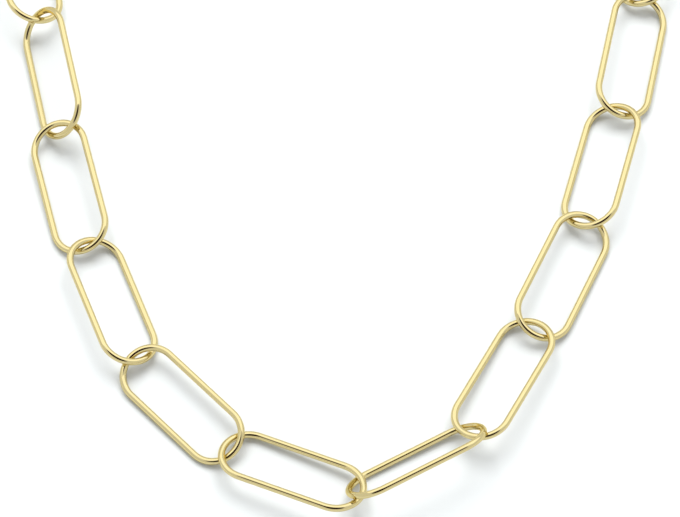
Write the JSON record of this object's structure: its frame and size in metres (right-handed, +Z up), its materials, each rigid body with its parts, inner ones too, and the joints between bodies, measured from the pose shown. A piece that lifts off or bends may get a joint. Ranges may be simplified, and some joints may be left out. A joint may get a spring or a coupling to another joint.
{
  "type": "chain necklace",
  "caption": "Necklace of long, narrow, round-ended wire links, each passed through the next, closed by a small round clasp and lying flat in a loop.",
  "frame": {"origin": "middle of the lying necklace's bounding box, on the surface it lies on", "axes": "+Z up from the surface, +Y from the front links to the clasp, +X to the right seen from above with the clasp at the top"},
  "size_m": [0.1062, 0.1809, 0.0073],
  "materials": {
    "gold": "polished yellow gold"
  },
  "bodies": {
    "root": {"clasp": "gold", "link_01": "gold", "link_02": "gold", "link_03": "gold", "link_04": "gold", "link_05": "gold", "link_06": "gold", "link_07": "gold", "link_08": "gold", "link_09": "gold", "link_10": "gold", "link_11": "gold", "link_12": "gold", "link_13": "gold", "link_14": "gold", "link_15": "gold", "link_16": "gold", "link_17": "gold", "link_18": "gold", "link_19": "gold", "link_20": "gold", "link_21": "gold", "link_22": "gold"}
  },
  "joints": []
}
